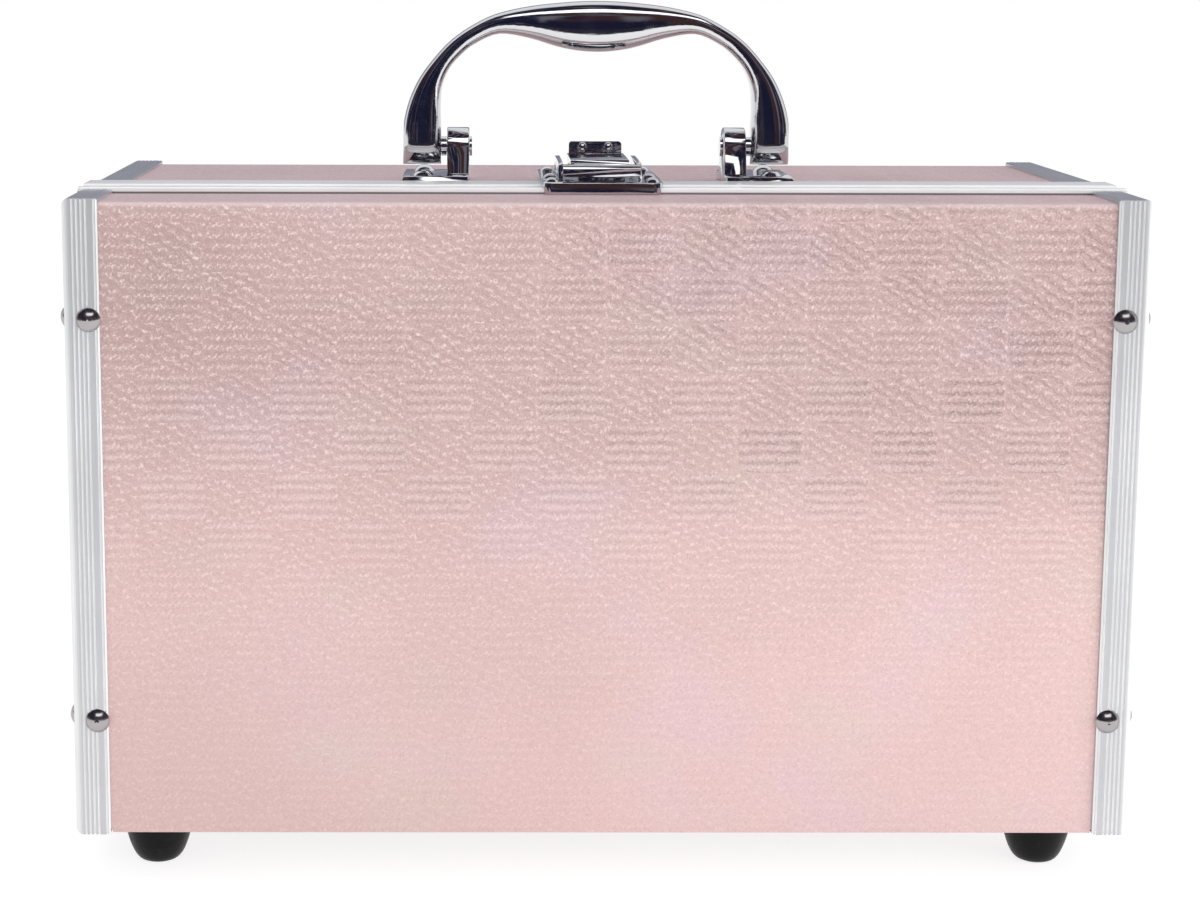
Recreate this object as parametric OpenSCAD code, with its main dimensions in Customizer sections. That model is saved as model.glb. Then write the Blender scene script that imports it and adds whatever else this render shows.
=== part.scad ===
// Makeup train case: a covered box with ribbed aluminium edging. The rear part of
// the top is a lid behind a metal seam. It carries a bail handle and a draw latch,
// and lifts a tray on parallel arms as it opens.
// X runs along the width, the front faces -Y, Z is up and the feet stand on Z = 0.

/* [Case] */
// Width over the edging
case_w = 330; // [290:5:400]
// Depth over the edging, front to back
case_d = 150; // [150:5:190]
// Height of the box without its feet
case_h = 200; // [165:5:245]
// Thickness of the boards
board_t = 5; // [4:0.5:6]
// Thickness of the lining
lining_t = 1; // [0.8:0.1:1.3]

/* [Seam] */
// Depth of the fixed ledge in front of the lid
ledge_d = 42; // [40:1:52]
// Height of the lid under its top surface
lid_h = 10; // [9:1:12]
// Gap between lid and case
seam_gap = 0.4; // [0.3:0.1:0.6]
// Height of the seam strips over the covering
strip_rise = 2; // [1.6:0.1:2.4]
// Width of the strip in front of the seam
ledge_strip_w = 10.8; // [10:0.2:13]
// Width of the raised band on that strip
band_w = 4.6; // [4:0.2:5.4]
// Width of the strip behind the seam
lid_strip_w = 16; // [13:0.5:16]

/* [Edging] */
// Width of each leg of the edging
edging_w = 11; // [10:0.5:13]
// Thickness of the edging
edging_t = 1.3; // [1.1:0.1:1.6]
// Radius of the edging's outer corner
edging_r = 2.5; // [2:0.1:3]
// Width of a groove in the edging
groove_w = 0.6; // [0.5:0.1:0.8]

/* [Feet] */
// Height of the feet under the box
foot_h = 16; // [12:1:20]
// Radius of a foot where it meets the box
foot_r = 12; // [10:0.5:13]
// Radius of a foot at the floor
foot_tip_r = 4.5; // [4.5:0.25:6]
// Distance of the feet from the ends and from the front and back
foot_inset = 23; // [23:1:32]

/* [Handle] */
// Outer width of the handle
handle_w = 128.6; // [110:0.1:156]
// Height of the handle over the top covering
handle_rise = 59.8; // [52:0.2:72]
// Thickness of the grip at its middle
grip_t = 16.8; // [14:0.2:20]
// Thickness of the grip at its necks
neck_t = 6; // [5:0.2:7.2]
// Front-to-back size of the grip
grip_depth = 15.6; // [12:0.2:15.6]
// Width of a leg at its pivot
leg_w = 12.7; // [11:0.1:13]
// Height of the pivot over the top covering
pivot_rise = 12; // [12:0.2:14]
// Radius of the rounded heel and of the lug around the pivot
heel_r = 6; // [5.5:0.1:6]

/* [Latch] */
// Width of the latch plates
latch_w = 38; // [36:1:46]
// Thickness of the latch plates over the covering
latch_t = 3.6; // [3.2:0.1:4.2]
// Width of the lever
lever_w = 18.8; // [18:0.2:19]
// Length of the lever behind its pivot
lever_l = 31; // [28:1:33]
// Height of the finger tab over the plates
tab_rise = 9.8; // [8:0.2:11.6]

/* [Inside] */
// Width of the mirror
mirror_w = 165; // [120:5:230]
// Front-to-back size of the mirror
mirror_d = 66; // [50:2:70]
// Height of the tray
tray_h = 38; // [32:1:42]
// Length of the arms that carry the tray
arm_l = 45; // [38:1:47]
// Slope of the arms under level while the lid is shut
arm_slope = 50; // [48:1:56]
// Number of compartments
tray_cells = 3; // [2:1:5]

/* [Hidden] */
$fn = 64;
eps = 0.01;
far = 500;
side_names = ["left", "right"];
corner_names = ["front_left", "front_right", "rear_left", "rear_right"];
body_nodes = ["front_board", "ledge_board", "rear_board", "base_board", "ledge_seam_strip",
    "body_lining", "edging_rivets", "foot_screws", "arm_studs", "hinge_pins",
    "strike_plate", "strike_rivets"];
lid_nodes = ["lid_board", "lid_rim_rear", "lid_seam_strip", "lid_lining", "mirror_frame", "mirror",
    "handle_rivets", "latch_base", "latch_rivets", "lever_pin"];
moving_nodes = ["handle", "handle_pins", "latch_lever", "hook_pin", "latch_hook", "tray", "tray_pins"];
paired_nodes = ["end_board", "front_edging", "rear_edging", "base_edging", "ledge_edging",
    "body_hinge_leaf", "lid_hinge_leaf", "lid_rim", "lid_edging", "lid_arm", "handle_base", "tray_arm"];

// Outer faces of the boards, inside the edging
bx = case_w / 2 - edging_t;
by = case_d / 2 - edging_t;
front_y = -case_d / 2;
base_z = foot_h;
top_z = foot_h + case_h;
floor_z = base_z + edging_t;
roof_z = top_z - edging_t;
inner_x = bx - board_t;
inner_y = by - board_t;
under_z = roof_z - board_t;
board_gap = 0.3;

// Seam between the ledge and the lid
seam_y = front_y + ledge_d;
ledge_edge = seam_y - seam_gap / 2;
lid_edge = seam_y + seam_gap / 2;
strip_front = ledge_edge - ledge_strip_w;
strip_back = lid_edge + lid_strip_w;
strip_z = roof_z + strip_rise;
valley_rise = 0.9;
web_t = 1.8;
flange_t = 1.2;
lip_l = 6.2;
lid_z = roof_z - lid_h;
shut_z = lid_z - board_gap;

// Lid hinge
knuckle_r = 2.4;
hinge_pin_r = 1.2;
leaf_t = 1.2;
leaf_w = 50;
leaf_drop = 24;
hinge_y = by + knuckle_r + board_gap;
hinge_z = lid_z - board_gap / 2;
lip_x = case_w / 2 - edging_w - 0.4;
hinge_inset = 70;
hinge_x = case_w / 2 - hinge_inset;
knuckles = 5;
running = 0.05;

// Rivets
rivet_r = 3.75;
rivet_h = 2;
rivet_inset = 7.7;
rivet_from_edge = 37;

// Handle
pivot_z = roof_z + pivot_rise;
leg_in = handle_w / 2 - leg_w - 0.3;
handle_pin_r = 2;
lug_gap = 2;
lug_out = leg_in - lug_gap;
lug_w = 7.3;
lug_in = lug_out - lug_w;
base_t = 3.2;
base_half_d = -strip_back - 0.1;
handle_rivet_x = leg_in + leg_w / 2 - 0.6;
handle_rivet_y = 10.5;

// Latch: the lever turns about pin 1 and carries the hook on pin 2
lever_y = seam_y + 7;
lever_z = roof_z + latch_t + 2.6;
hook_y = lever_y + 5;
hook_z = lever_z - 0.5;
latch_pin_r = 0.75;
latch_back = seam_y + 44;
plate_z = roof_z + latch_t;
lever_under = lever_z + 2;
lever_top = lever_under + 1.2;
skirt_t = 1.2;
ear_in = lever_w / 2 - skirt_t - 2 - 1.2;
arm_in = lever_w / 2 + 0.35;
arm_t = 1.4;
claw_w = 2 * (arm_in + arm_t) + 2.4;
cheek_in = arm_in + arm_t + 0.7;
cheek_t = 1.5;
nose_front = seam_y - 3.6;
nose_top = plate_z + 2.8;
claw_t = 1.4;
latch_rivet_x = latch_w / 2 - 3.1;
latch_rivet_r = 2.5;

// Tray and the parallel arms that carry it
link_t = 1.6;
link_r = 4.5;
link_pin_r = 2;
tray_pivot = [hinge_y - arm_l * cos(arm_slope), hinge_z - arm_l * sin(arm_slope)];
arm_shift = [-38, -8];
stud_at = [hinge_y, hinge_z] + arm_shift;
open_pivot = tray_pivot + arm_shift;
tray_arm_x = inner_x - lining_t - 0.9 - link_t;
lid_arm_x = tray_arm_x - 3.2;
tray_x = lid_arm_x - 2.5;
tray_wall = 1.6;
tray_z = tray_pivot[1] - tray_h / 2;
tray_back = inner_y - lining_t - 5.7;
tray_front = seam_y + arm_l * (1 - cos(arm_slope)) + 9;
tray_d = tray_back - tray_front;
mirror_y = (lid_edge + web_t + 8 + inner_y) / 2 - 4;
rim_w = 4;

// Extrudes a (y, z) outline along X
module along_x(from, to) {
    translate([from, 0, 0]) rotate([90, 0, 90]) linear_extrude(to - from) children();
}

module block(from, to) {
    translate(from) cube(to - from);
}

module rod(r, from, to, at) {
    translate([from, at[0], at[1]]) rotate([0, 90, 0]) cylinder(r = r, h = to - from);
}

module for_side(side) {
    if (side == "left") mirror([1, 0, 0]) children();
    else children();
}

module both_sides() {
    children();
    mirror([1, 0, 0]) children();
}

module dome(r, h) {
    ball_r = (r * r + h * h) / (2 * h);
    intersection() {
        translate([0, 0, h - ball_r]) sphere(ball_r);
        cylinder(r = r, h = h);
    }
}

module rounded_plan(from, to, r) {
    translate([from[0] + r, from[1]]) square([to[0] - from[0] - 2 * r, to[1] - from[1]]);
    translate([from[0], from[1] + r]) square([to[0] - from[0], to[1] - from[1] - 2 * r]);
    for (x = [from[0] + r, to[0] - r]) for (y = [from[1] + r, to[1] - r]) translate([x, y]) circle(r);
}

// A flat link in the YZ plane with round ends
module link(a, b, r, from, to) {
    along_x(from, to) hull() {
        translate(a) circle(r);
        translate(b) circle(r);
    }
}

// Boards

// Board across the width whose covering comes down between the base edgings
module cross_board(from, to) {
    block(from, to);
    block([-lip_x, from[1], base_z + 0.3], [lip_x, to[1], floor_z + 1]);
}

module front_board() {
    color("#dcbcb8") cross_board([-inner_x, -by, floor_z], [inner_x, -inner_y, roof_z]);
}

module ledge_board() {
    color("#dcbcb8") block([-inner_x, -inner_y, under_z], [inner_x, ledge_edge - web_t, roof_z]);
}

module rear_board() {
    color("#dcbcb8") cross_board([-inner_x, inner_y, floor_z], [inner_x, by, shut_z]);
}

module base_board() {
    color("#dcbcb8") block([-inner_x, -inner_y, floor_z], [inner_x, inner_y, floor_z + board_t]);
}

module end_board(side) {
    step_y = ledge_edge - web_t;
    color("#dcbcb8") for_side(side) along_x(inner_x, bx)
        polygon([[-by, floor_z], [by, floor_z], [by, shut_z], [step_y, shut_z], [step_y, roof_z], [-by, roof_z]]);
}

module lid_board() {
    color("#dcbcb8") block([-bx, lid_edge + web_t, under_z], [bx, by, roof_z]);
}

module lid_rim(side) {
    color("#dcbcb8") for_side(side) block([inner_x, lid_edge + web_t, lid_z], [bx, inner_y, under_z]);
}

module lid_rim_rear() {
    color("#dcbcb8") block([-bx, inner_y, lid_z], [bx, by, under_z]);
}

// Linings

module body_lining() {
    low = floor_z + board_t;
    step_y = strip_front;
    color("#3a3638") difference() {
        union() {
            block([-inner_x, -inner_y, low], [inner_x, inner_y, shut_z - board_gap]);
            block([-inner_x, -inner_y, shut_z - board_gap - eps], [inner_x, step_y, under_z - board_gap]);
        }
        block([-inner_x + lining_t, -inner_y + lining_t, low + lining_t],
            [inner_x - lining_t, inner_y - lining_t, top_z]);
        block([-inner_x - eps, step_y - 1, lid_z - 4.6], [inner_x + eps, ledge_edge + lip_l + 1, top_z]);
        both_sides() rod(link_r + 0.6, inner_x - lining_t - eps, inner_x + eps, stud_at);
    }
}

module lid_lining() {
    color("#3a3638")
        block([-inner_x, lid_edge + web_t + 8, under_z - lining_t], [inner_x, inner_y, under_z]);
}

// Edging: an L with fine grooves along both legs

function groove_places() = [for (f = [0.91, 0.68, 0.56, 0.435, 0.31]) f * edging_w];

function leg_outline(d) = [
    [edging_t - d - groove_w / 2, edging_t],
    [edging_t - d, edging_t - groove_w * 0.6],
    [edging_t - d + groove_w / 2, edging_t]];

function swapped(points) = [for (i = [len(points) - 1 : -1 : 0]) [points[i][1], points[i][0]]];

function one_leg() = concat(
    [[edging_t - edging_w, 0], [edging_t - edging_w, edging_t - 0.5], [edging_t - edging_w + 0.5, edging_t]],
    [for (d = groove_places()) each leg_outline(d)]);

function corner_arc() = [for (a = [90 : -15 : 0])
    [edging_t - edging_r, edging_t - edging_r] + edging_r * [cos(a), sin(a)]];

module edging_outline() {
    polygon(concat([[0, 0]], one_leg(), corner_arc(), swapped(one_leg())));
}

// The half space on one side of a mitre plane through the line at (y, z)
module mitre(y, z, turn) {
    translate([0, y, z]) rotate([turn, 0, 0]) translate([-far, -far, 0]) cube(2 * far);
}

module upright_edging(top, mitred) {
    difference() {
        translate([bx, -by, base_z]) mirror([0, 1, 0]) linear_extrude(top - base_z) edging_outline();
        mitre(front_y, base_z, -135);
        if (mitred) mitre(front_y, top_z, -45);
    }
}

module level_edging(from, to) {
    translate([bx, to, 0]) rotate([90, 0, 0]) linear_extrude(to - from) edging_outline();
}

module front_edging(side) {
    color("#c6c8cb") for_side(side) upright_edging(top_z, true);
}

module rear_edging(side) {
    color("#c6c8cb") for_side(side) mirror([0, 1, 0]) upright_edging(shut_z, false);
}

module base_edging(side) {
    color("#c6c8cb") for_side(side) difference() {
        translate([0, 0, floor_z]) mirror([0, 0, 1]) level_edging(front_y, -front_y);
        mitre(front_y, base_z, 45);
        mirror([0, 1, 0]) mitre(front_y, base_z, 45);
    }
}

module ledge_edging(side) {
    color("#c6c8cb") for_side(side) difference() {
        translate([0, 0, roof_z]) level_edging(front_y, ledge_edge);
        mitre(front_y, top_z, 135);
        block([0, strip_front, roof_z], [far, far, far]);
    }
}

module lid_edging(side) {
    color("#c6c8cb") for_side(side) difference() {
        translate([0, 0, roof_z]) level_edging(lid_edge, -front_y);
        block([0, -far, roof_z], [far, strip_back, far]);
    }
}

// Seam strips: two extrusions that grip the ledge board and the lid board

function quarter(centre, r, from, to) = [for (i = [0 : 4])
    let (a = from + (to - from) * i / 4) centre + r * [cos(a), sin(a)]];

module ledge_seam_strip() {
    band_end = strip_front + band_w;
    low = lid_z - 3.6;
    color("#cfd1d4") {
        along_x(-case_w / 2, case_w / 2) polygon(concat(
            [[strip_front, roof_z]],
            quarter([strip_front + 1, strip_z - 1], 1, 180, 90),
            quarter([band_end - 1, strip_z - 1], 1, 90, 0),
            [[band_end, roof_z + valley_rise], [ledge_edge, roof_z + valley_rise], [ledge_edge, roof_z]]));
        along_x(-bx, bx)
            polygon([[ledge_edge - web_t, shut_z], [ledge_edge, shut_z], [ledge_edge, roof_z + eps],
                [ledge_edge - web_t, roof_z + eps]]);
        along_x(-inner_x + lining_t, inner_x - lining_t) polygon([
            [ledge_edge - web_t, low], [ledge_edge + lip_l, low], [ledge_edge + lip_l, lid_z - 0.5],
            [ledge_edge + lip_l - 1.4, lid_z - 0.5], [ledge_edge + lip_l - 1.4, low + 1.5],
            [ledge_edge, low + 1.5], [ledge_edge, shut_z + eps], [ledge_edge - web_t, shut_z + eps]]);
        along_x(-inner_x, inner_x)
            polygon([[ledge_edge - 8, under_z - flange_t], [ledge_edge - web_t + eps, under_z - flange_t],
                [ledge_edge - web_t + eps, under_z], [ledge_edge - 8, under_z]]);
    }
}

module lid_seam_strip() {
    color("#cfd1d4") {
        along_x(-case_w / 2, case_w / 2) polygon(concat(
            [[lid_edge, roof_z]],
            quarter([lid_edge + 1.4, strip_z - 1.4], 1.4, 180, 90),
            quarter([strip_back - 1, strip_z - 1], 1, 90, 0),
            [[strip_back, roof_z]]));
        along_x(-bx, bx)
            polygon([[lid_edge, lid_z], [lid_edge + web_t, lid_z], [lid_edge + web_t, roof_z + eps],
                [lid_edge, roof_z + eps]]);
        along_x(-inner_x + lining_t + 1, inner_x - lining_t - 1)
            polygon([[lid_edge + 0.5, lid_z - 1.3], [lid_edge + 2.9, lid_z - 1.3], [lid_edge + 2.9, lid_z + 0.8],
                [lid_edge + 0.5, lid_z + 0.8]]);
        along_x(-inner_x, inner_x)
            polygon([[lid_edge + web_t - eps, under_z - flange_t], [lid_edge + 8, under_z - flange_t],
                [lid_edge + 8, under_z], [lid_edge + web_t - eps, under_z]]);
    }
}

// Rivets on the edging, on the front, the back and both ends

module edging_rivets() {
    color("#8c8e92") both_sides() for (z = [base_z + rivet_from_edge, top_z - rivet_from_edge]) {
        for (turn = [90, -90]) translate([case_w / 2 - rivet_inset, -sign(turn) * case_d / 2, z])
            rotate([turn, 0, 0]) dome(rivet_r, rivet_h);
        for (y = [front_y + rivet_inset, -front_y - rivet_inset]) translate([case_w / 2, y, z])
            rotate([0, 90, 0]) dome(rivet_r, rivet_h);
    }
}

// Feet

function foot_side() = [for (i = [0 : 12])
    [foot_tip_r + (foot_r - foot_tip_r) * pow(i / 12, 0.8), floor_z * pow(i / 12, 2)]];

module foot(corner) {
    sx = search([corner], corner_names)[0] % 2 == 0 ? -1 : 1;
    sy = search([corner], corner_names)[0] < 2 ? -1 : 1;
    color("#17171a") translate([sx * (case_w / 2 - foot_inset), sy * (case_d / 2 - foot_inset), 0])
        difference() {
            rotate_extrude() polygon(concat([[0, 0]], foot_side(), [[0, floor_z]]));
            translate([0, 0, -eps]) cylinder(r = 3.2, h = 7 + eps);
        }
}

module foot_screws() {
    color("#a8aaad") for (x = [-1, 1]) for (y = [-1, 1])
        translate([x * (case_w / 2 - foot_inset), y * (case_d / 2 - foot_inset), 7])
            mirror([0, 0, 1]) dome(2.9, 1.8);
}

// Lid hinge: two butt hinges on the back, each with its own pin

function knuckle_from(i) = -leaf_w / 2 + leaf_w * i / knuckles;

module hinge_barrel(parity) {
    for (i = [parity : 2 : knuckles - 1])
        rod(knuckle_r, knuckle_from(i) + 0.15, knuckle_from(i + 1) - 0.15, [hinge_y, hinge_z]);
}

module hinge_room(parity) {
    for (i = [parity : 2 : knuckles - 1])
        rod(knuckle_r + board_gap, knuckle_from(i) - 0.15, knuckle_from(i + 1) + 0.15, [hinge_y, hinge_z]);
}

module hinge_leaf(parity, low, high) {
    difference() {
        union() {
            difference() {
                block([-leaf_w / 2, by, low], [leaf_w / 2, by + leaf_t, high]);
                hinge_room(1 - parity);
            }
            hinge_barrel(parity);
        }
        rod(hinge_pin_r + running, -leaf_w, leaf_w, [hinge_y, hinge_z]);
    }
}

module body_hinge_leaf(side) {
    color("#b4b6b9") for_side(side) translate([hinge_x, 0, 0])
        hinge_leaf(0, hinge_z - leaf_drop, hinge_z - board_gap / 2);
}

module lid_hinge_leaf(side) {
    color("#b4b6b9") for_side(side) translate([hinge_x, 0, 0])
        hinge_leaf(1, hinge_z + board_gap / 2, lid_z + lid_h - 0.8);
}

module hinge_pins() {
    color("#a0a2a5") both_sides() translate([hinge_x, 0, 0]) {
        rod(hinge_pin_r, -leaf_w / 2 - 0.2, leaf_w / 2 + 0.2, [hinge_y, hinge_z]);
        for (x = [-leaf_w / 2 - 0.9, leaf_w / 2 + 0.1]) rod(1.8, x, x + 0.8, [hinge_y, hinge_z]);
    }
}

// Mirror inside the lid

module mirror_frame() {
    high = under_z - lining_t;
    color("#2b292b") difference() {
        translate([0, 0, high - 3.4]) linear_extrude(3.4)
            rounded_plan([-mirror_w / 2 - rim_w, mirror_y - mirror_d / 2 - rim_w],
                [mirror_w / 2 + rim_w, mirror_y + mirror_d / 2 + rim_w], 6);
        translate([0, 0, high - 2.2]) linear_extrude(4)
            rounded_plan([-mirror_w / 2, mirror_y - mirror_d / 2], [mirror_w / 2, mirror_y + mirror_d / 2], 4);
        translate([0, 0, high - 5]) linear_extrude(5)
            rounded_plan([-mirror_w / 2 + 1.5, mirror_y - mirror_d / 2 + 1.5],
                [mirror_w / 2 - 1.5, mirror_y + mirror_d / 2 - 1.5], 3);
    }
}

module mirror_glass() {
    color("#e8eef2") translate([0, 0, under_z - lining_t - 2.2]) linear_extrude(2.2)
        rounded_plan([-mirror_w / 2 + 0.1, mirror_y - mirror_d / 2 + 0.1],
            [mirror_w / 2 - 0.1, mirror_y + mirror_d / 2 - 0.1], 3.9);
}

// Handle bases: a plate with sloped sides and a round-topped lug for the pivot

module handle_base(side) {
    out = handle_w / 2 + 0.7;
    bevel = 1.4;
    color("#b9bbbf") for_side(side) difference() {
        union() {
            intersection() {
                along_x(lug_in, out) polygon([[-base_half_d, roof_z], [base_half_d, roof_z],
                    [base_half_d - bevel, roof_z + base_t], [-base_half_d + bevel, roof_z + base_t]]);
                translate([0, base_half_d, 0]) rotate([90, 0, 0]) linear_extrude(2 * base_half_d)
                    polygon([[lug_in, roof_z], [out, roof_z], [out - bevel, roof_z + base_t],
                        [lug_in, roof_z + base_t]]);
            }
            along_x(lug_in, lug_out) {
                translate([0, pivot_z]) circle(heel_r + 0.3);
                polygon([[-heel_r - 3, roof_z + base_t - eps], [heel_r + 3, roof_z + base_t - eps],
                    [heel_r + 0.3, pivot_z], [-heel_r - 0.3, pivot_z]]);
            }
        }
        rod(handle_pin_r + running, lug_in - eps, lug_out + eps, [0, pivot_z]);
    }
}

module handle_rivets() {
    color("#8c8e92") both_sides() for (y = [-handle_rivet_y, handle_rivet_y])
        translate([handle_rivet_x, y, roof_z + base_t]) dome(3.6, 2);
}

// Handle: a cast bail swept along its centre line, with a thick belly at the grip.
// Each station is [x, height, thickness, depth]; x is a share of the half width and
// height a share of the rise.

function leg_x() = leg_in + leg_w / 2;

function handle_stations() = [
    [leg_x(), pivot_rise, leg_w, 2 * heel_r],
    [leg_x() - 0.15, 0.326 * handle_rise, 0.985 * leg_w, 2 * heel_r],
    [0.88 * handle_w / 2, 0.443 * handle_rise, 0.835 * leg_w, 1.96 * heel_r],
    [0.85 * handle_w / 2, 0.552 * handle_rise, 0.645 * leg_w, 1.9 * heel_r],
    [0.796 * handle_w / 2, 0.654 * handle_rise, 1.05 * neck_t, 1.84 * heel_r],
    [0.726 * handle_w / 2, 0.739 * handle_rise, 0.985 * neck_t, 1.8 * heel_r],
    [0.641 * handle_w / 2, 0.808 * handle_rise, 0.965 * neck_t, 1.84 * heel_r],
    [0.51 * handle_w / 2, 0.872 * handle_rise, 0.4 * grip_t, 0.8 * grip_depth],
    [0.34 * handle_w / 2, 0.882 * handle_rise, 0.64 * grip_t, 0.93 * grip_depth],
    [0.16 * handle_w / 2, 0.866 * handle_rise, 0.91 * grip_t, 0.99 * grip_depth],
    [0, handle_rise - grip_t / 2, grip_t, grip_depth]];

function mirrored(list) = [for (i = [len(list) - 2 : -1 : 0])
    [-list[i][0], list[i][1], list[i][2], list[i][3]]];

function between(p, t) = let (a = p[0], b = p[1], c = p[2], d = p[3])
    0.5 * (2 * b + (c - a) * t + (2 * a - 5 * b + 4 * c - d) * t * t + (3 * b - a - 3 * c + d) * t * t * t);

steps = 4;
sides = 32;

function smooth(list) = [for (i = [0 : len(list) - 2]) for (k = [0 : steps - 1])
    between([list[max(i - 1, 0)], list[i], list[i + 1], list[min(i + 2, len(list) - 1)]], k / steps)];

// The round heel under the pivot, from its lowest line up to the pivot
function heel(side) = [for (a = [10 : 16 : 74])
    [side * leg_x(), pivot_rise - heel_r * cos(a), leg_w, 2 * heel_r * sin(a)]];

function backwards(list) = [for (i = [len(list) - 1 : -1 : 0]) list[i]];

function handle_path() = let (half = handle_stations(), arch = concat(half, mirrored(half)))
    concat(heel(1), smooth(arch), [arch[len(arch) - 1]], backwards(heel(-1)));

function bulge(v) = sign(v) * pow(abs(v), 0.62);

function handle_ring(path, i) = let (
    here = path[i],
    ahead = path[min(i + 1, len(path) - 1)] - path[max(i - 1, 0)],
    run = norm([ahead[0], ahead[1]]),
    normal = [ahead[1], -ahead[0]] / run)
    [for (k = [0 : sides - 1]) let (a = 360 * k / sides)
        [here[0] + normal[0] * here[2] / 2 * bulge(cos(a)),
         here[3] / 2 * bulge(sin(a)),
         roof_z + here[1] + normal[1] * here[2] / 2 * bulge(cos(a))]];

module handle_sweep() {
    path = handle_path();
    last = len(path) - 1;
    points = [for (i = [0 : last]) each handle_ring(path, i)];
    walls = [for (i = [0 : last - 1]) for (k = [0 : sides - 1]) let (n = (k + 1) % sides)
        [i * sides + k, i * sides + n, (i + 1) * sides + n, (i + 1) * sides + k]];
    polyhedron(points, concat(walls,
        [[for (k = [sides - 1 : -1 : 0]) k]],
        [[for (k = [0 : sides - 1]) last * sides + k]]), convexity = 6);
}

module handle() {
    color("#c9cbce") difference() {
        handle_sweep();
        both_sides() rod(handle_pin_r + 0.02, leg_in - 1, leg_in + 7.2, [0, pivot_z]);
    }
}

module handle_pins() {
    color("#8c8e92") both_sides() {
        rod(handle_pin_r, lug_in - 0.5, leg_in + 7, [0, pivot_z]);
        rod(3.2, lug_in - 0.9, lug_in - 0.1, [0, pivot_z]);
        rod(3.2, lug_out + 0.15, leg_in - 0.05, [0, pivot_z]);
    }
}

// Latch

module strike_plate() {
    color("#b9bbbf") {
        difference() {
            translate([0, 0, roof_z]) linear_extrude(latch_t) intersection() {
                rounded_plan([-latch_w / 2, strip_front - 1.3], [latch_w / 2, seam_y + 6], 3);
                translate([-far, strip_front - 10]) square([2 * far, ledge_edge - strip_front + 9.7]);
            }
            block([-far, strip_front - 0.1, roof_z - eps], [far, strip_front + band_w + 0.1, strip_z]);
            block([-far, strip_front + band_w, roof_z - eps], [far, far, roof_z + valley_rise]);
        }
        along_x(-7.5, 7.5) polygon([[nose_front, plate_z - eps], [nose_front + 1.8, plate_z - eps],
            [nose_front + 1.8, nose_top - 0.4], [nose_front + 1.4, nose_top], [nose_front + 0.7, nose_top],
            [nose_front + 0.3, nose_top - 0.4]]);
    }
}

module strike_rivets() {
    color("#8c8e92") both_sides() translate([latch_rivet_x, strip_front + 5, plate_z]) dome(latch_rivet_r, 1.4);
}

module latch_rivets() {
    color("#8c8e92") both_sides() for (y = [lever_y + 2, latch_back - 6])
        translate([latch_rivet_x, y, plate_z]) dome(latch_rivet_r, 1.4);
}

module latch_base() {
    color("#b9bbbf") difference() {
        union() {
            translate([0, 0, roof_z]) linear_extrude(latch_t) intersection() {
                rounded_plan([-latch_w / 2, seam_y - 6], [latch_w / 2, latch_back], 3);
                translate([-far, lid_edge + 0.1]) square(2 * far);
            }
            both_sides() along_x(cheek_in, cheek_in + cheek_t)
                polygon([[lever_y - 3, plate_z - eps], [lever_y - 1, lever_top - 1.6], [lever_y + 1.5, lever_top - 0.8],
                    [latch_back - 6, lever_top - 0.8], [latch_back - 3.4, plate_z - eps]]);
            both_sides() along_x(ear_in, ear_in + 1.2) {
                translate([lever_y, lever_z]) circle(1.7);
                polygon([[lever_y - 1.7, plate_z - eps], [lever_y + 1.7, plate_z - eps],
                    [lever_y + 1.7, lever_z], [lever_y - 1.7, lever_z]]);
            }
        }
        block([-far, lid_edge - 1, roof_z - eps], [far, strip_back + 0.1, strip_z]);
        rod(latch_pin_r + running, -far, far, [lever_y, lever_z]);
    }
}

module lever_pin() {
    color("#8c8e92") rod(latch_pin_r, -lever_w / 2, lever_w / 2, [lever_y, lever_z]);
}

module latch_lever() {
    back = lever_y + lever_l;
    color("#c4c6ca") difference() {
        union() {
            block([-lever_w / 2, lever_y, lever_under], [lever_w / 2, back, lever_top]);
            both_sides() along_x(lever_w / 2 - skirt_t, lever_w / 2) {
                translate([lever_y, lever_z]) circle(2);
                polygon([[lever_y, lever_z - 2], [back - 9, lever_z - 1.6], [back - 2, lever_under + eps],
                    [lever_y, lever_under + eps]]);
            }
            translate([0, back, 0]) rotate([90, 0, 0]) linear_extrude(1.4)
                rounded_plan([-lever_w / 2 + 0.6, lever_under], [lever_w / 2 - 0.6, plate_z + tab_rise], 1.1);
            both_sides() translate([4.3, back - 1.4 + eps, plate_z + tab_rise - 1.9])
                rotate([90, 0, 0]) dome(1.7, 1.1);
        }
        rod(latch_pin_r + running, -far, far, [lever_y, lever_z]);
        rod(latch_pin_r + running, -far, far, [hook_y, hook_z]);
    }
}

module hook_pin() {
    color("#8c8e92") {
        rod(latch_pin_r, -arm_in - arm_t, arm_in + arm_t, [hook_y, hook_z]);
        both_sides() rod(1.25, arm_in + arm_t + 0.05, arm_in + arm_t + 0.5, [hook_y, hook_z]);
    }
}

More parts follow.
